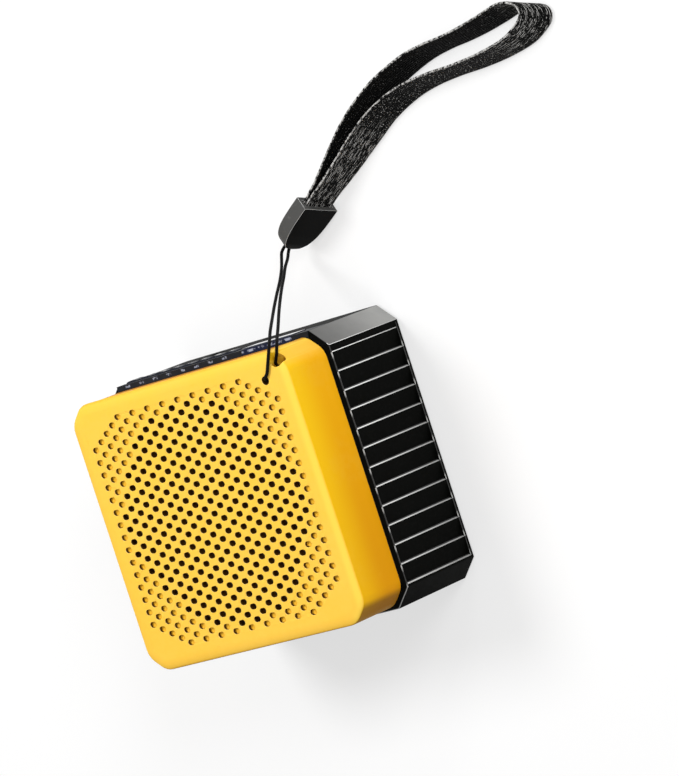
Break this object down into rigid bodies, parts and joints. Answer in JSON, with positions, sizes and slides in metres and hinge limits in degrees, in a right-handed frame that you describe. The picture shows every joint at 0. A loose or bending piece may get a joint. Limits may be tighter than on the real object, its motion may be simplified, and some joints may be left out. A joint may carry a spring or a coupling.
{
  "type": "pocket megaphone",
  "caption": "Pocket megaphone with a square perforated grille, louvred rear shell, row of keys, cone speaker inside and a wrist lanyard.",
  "frame": {"origin": "middle of the flat back face, on the surface that the body lies on", "axes": "+Z from the back face to the grille, +Y towards the control strip, louvred sides on X"},
  "size_m": [0.1972, 0.18, 0.0652],
  "materials": {
    "yellow_shell": "satin",
    "black_shell": "satin",
    "seal": "matt",
    "cloth": "matt",
    "foam": "matt",
    "pressed_steel": "satin",
    "paper_cone": "matt",
    "spider_cloth": "matt",
    "coil_copper": "enamelled",
    "plated_steel": "zinc plated",
    "ferrite": "matt",
    "strip_gloss": "gloss",
    "window_glass": "gloss",
    "key_plastic": "gloss",
    "board_green": "satin",
    "board_parts": "matt",
    "socket_steel": "bright",
    "cell_sleeve": "film",
    "inner_plastic": "matt",
    "cord_black": "braided",
    "clasp_plastic": "satin",
    "webbing": "woven"
  },
  "bodies": {
    "root": {"front_housing": "yellow_shell", "dust_cloth": "cloth", "foam_ring": "foam", "speaker_basket": "pressed_steel", "speaker_surround": "foam", "speaker_spider": "spider_cloth", "speaker_top_plate": "plated_steel", "speaker_magnet": "ferrite", "speaker_yoke": "plated_steel", "speaker_screws": "plated_steel", "seam_seal": "seal", "rear_housing": "black_shell", "housing_screws": "plated_steel", "rest_pads": "seal", "control_strip": "strip_gloss", "display_window": "window_glass", "display_module": "board_parts", "key_board": "board_green", "dome_switches": "socket_steel", "microphone": "socket_steel", "main_board": "board_green", "board_parts": "board_parts", "board_screws": "plated_steel", "charging_socket": "socket_steel", "microphone_jack": "inner_plastic", "battery_cell": "cell_sleeve", "battery_cradle": "inner_plastic", "lanyard_cord": "cord_black", "cord_clasp": "clasp_plastic", "wrist_strap": "webbing"},
    "diaphragm": {"speaker_cone": "paper_cone", "dust_cap": "paper_cone", "voice_coil": "coil_copper"},
    "power_key": {"key_power": "key_plastic"},
    "play_key": {"key_play": "key_plastic"},
    "previous_key": {"key_previous": "key_plastic"},
    "next_key": {"key_next": "key_plastic"},
    "volume_down_key": {"key_volume_down": "key_plastic"},
    "volume_up_key": {"key_volume_up": "key_plastic"},
    "record_key": {"key_record": "key_plastic"},
    "siren_key": {"key_siren": "key_plastic"}
  },
  "joints": [
    {"name": "cone_travel", "type": "slide", "parent": "root", "child": "diaphragm", "axis": [0, 0, 1], "range_m": [-0.0012, 0.0012], "stiffness_N_per_m": 1500, "deforming": ["speaker_surround", "speaker_spider"]},
    {"name": "power_press", "type": "slide", "parent": "root", "child": "power_key", "axis": [0, -1, 0], "range_m": [0, 0.0005], "stiffness_N_per_m": 2000},
    {"name": "play_press", "type": "slide", "parent": "root", "child": "play_key", "axis": [0, -1, 0], "range_m": [0, 0.0005], "stiffness_N_per_m": 2000},
    {"name": "previous_press", "type": "slide", "parent": "root", "child": "previous_key", "axis": [0, -1, 0], "range_m": [0, 0.0005], "stiffness_N_per_m": 2000},
    {"name": "next_press", "type": "slide", "parent": "root", "child": "next_key", "axis": [0, -1, 0], "range_m": [0, 0.0005], "stiffness_N_per_m": 2000},
    {"name": "volume_down_press", "type": "slide", "parent": "root", "child": "volume_down_key", "axis": [0, -1, 0], "range_m": [0, 0.0005], "stiffness_N_per_m": 2000},
    {"name": "volume_up_press", "type": "slide", "parent": "root", "child": "volume_up_key", "axis": [0, -1, 0], "range_m": [0, 0.0005], "stiffness_N_per_m": 2000},
    {"name": "record_press", "type": "slide", "parent": "root", "child": "record_key", "axis": [0, -1, 0], "range_m": [0, 0.0005], "stiffness_N_per_m": 2000},
    {"name": "siren_press", "type": "slide", "parent": "root", "child": "siren_key", "axis": [0, -1, 0], "range_m": [0, 0.0005], "stiffness_N_per_m": 2000}
  ]
}
